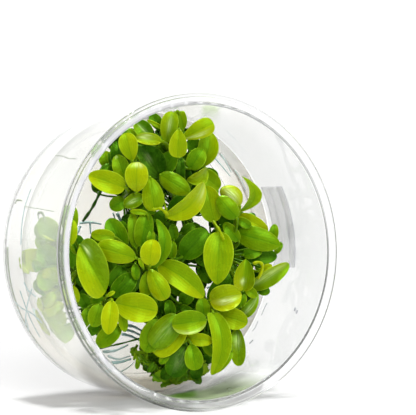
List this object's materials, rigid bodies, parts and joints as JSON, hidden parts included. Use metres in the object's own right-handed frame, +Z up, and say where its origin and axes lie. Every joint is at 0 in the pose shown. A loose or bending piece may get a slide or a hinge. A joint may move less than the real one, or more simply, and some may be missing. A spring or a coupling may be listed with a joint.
{
  "type": "in-vitro plant cup",
  "caption": "Round clear plastic cup lying on its side, with cream nutrient gel in its base and a cluster of young broad-leaved anubias plants growing out of it.",
  "frame": {"origin": "on the surface that the cup lies on, under the middle of its bounding box", "axes": "+Z up from the surface the cup lies on; -Y out of the cup's mouth (the cup's axis rises 4.1 degrees towards the mouth from -Y); +X to the right as seen from in front of the mouth"},
  "size_m": [0.1, 0.0566, 0.0998],
  "materials": {
    "clear_plastic": "clear, polished",
    "nutrient_gel": "soft translucent cream gel, wet",
    "label_film": "thin translucent film, blank",
    "leaf_green": "waxy, glossy leaf",
    "stalk_green": "smooth, waxy",
    "tuft_green": "ragged, matte"
  },
  "bodies": {
    "root": {"cup": "clear_plastic", "nutrient_gel": "nutrient_gel", "label": "label_film", "stems_top": "stalk_green", "stems_upper_left": "stalk_green", "stems_upper_right": "stalk_green", "stems_centre": "stalk_green", "stems_left": "stalk_green", "stems_lower_left": "stalk_green", "stems_right": "stalk_green", "stems_lower_right": "stalk_green", "stems_bottom": "stalk_green", "leaf_01": "leaf_green", "leaf_02": "leaf_green", "leaf_03": "leaf_green", "leaf_04": "leaf_green", "leaf_05": "leaf_green", "leaf_06": "leaf_green", "leaf_07": "leaf_green", "leaf_08": "leaf_green", "leaf_09": "leaf_green", "leaf_10": "leaf_green", "leaf_11": "leaf_green", "leaf_12": "leaf_green", "leaf_13": "leaf_green", "leaf_14": "leaf_green", "leaf_15": "leaf_green", "leaf_16": "leaf_green", "leaf_17": "leaf_green", "leaf_18": "leaf_green", "leaf_19": "leaf_green", "leaf_20": "leaf_green", "leaf_21": "leaf_green", "leaf_22": "leaf_green", "leaf_23": "leaf_green", "leaf_24": "leaf_green", "leaf_25": "leaf_green", "leaf_26": "leaf_green", "leaf_27": "leaf_green", "leaf_28": "leaf_green", "leaf_29": "leaf_green", "leaf_30": "leaf_green", "leaf_31": "leaf_green", "leaf_32": "leaf_green", "leaf_33": "leaf_green", "leaf_34": "leaf_green", "leaf_35": "leaf_green", "leaf_36": "leaf_green", "leaf_37": "leaf_green", "leaf_38": "leaf_green", "leaf_39": "leaf_green", "leaf_40": "leaf_green", "leaf_41": "leaf_green", "leaf_42": "leaf_green", "leaf_43": "leaf_green", "leaf_44": "leaf_green", "leaf_45": "leaf_green", "leaf_46": "leaf_green", "leaf_47": "leaf_green", "bottom_tuft": "tuft_green"}
  },
  "joints": []
}
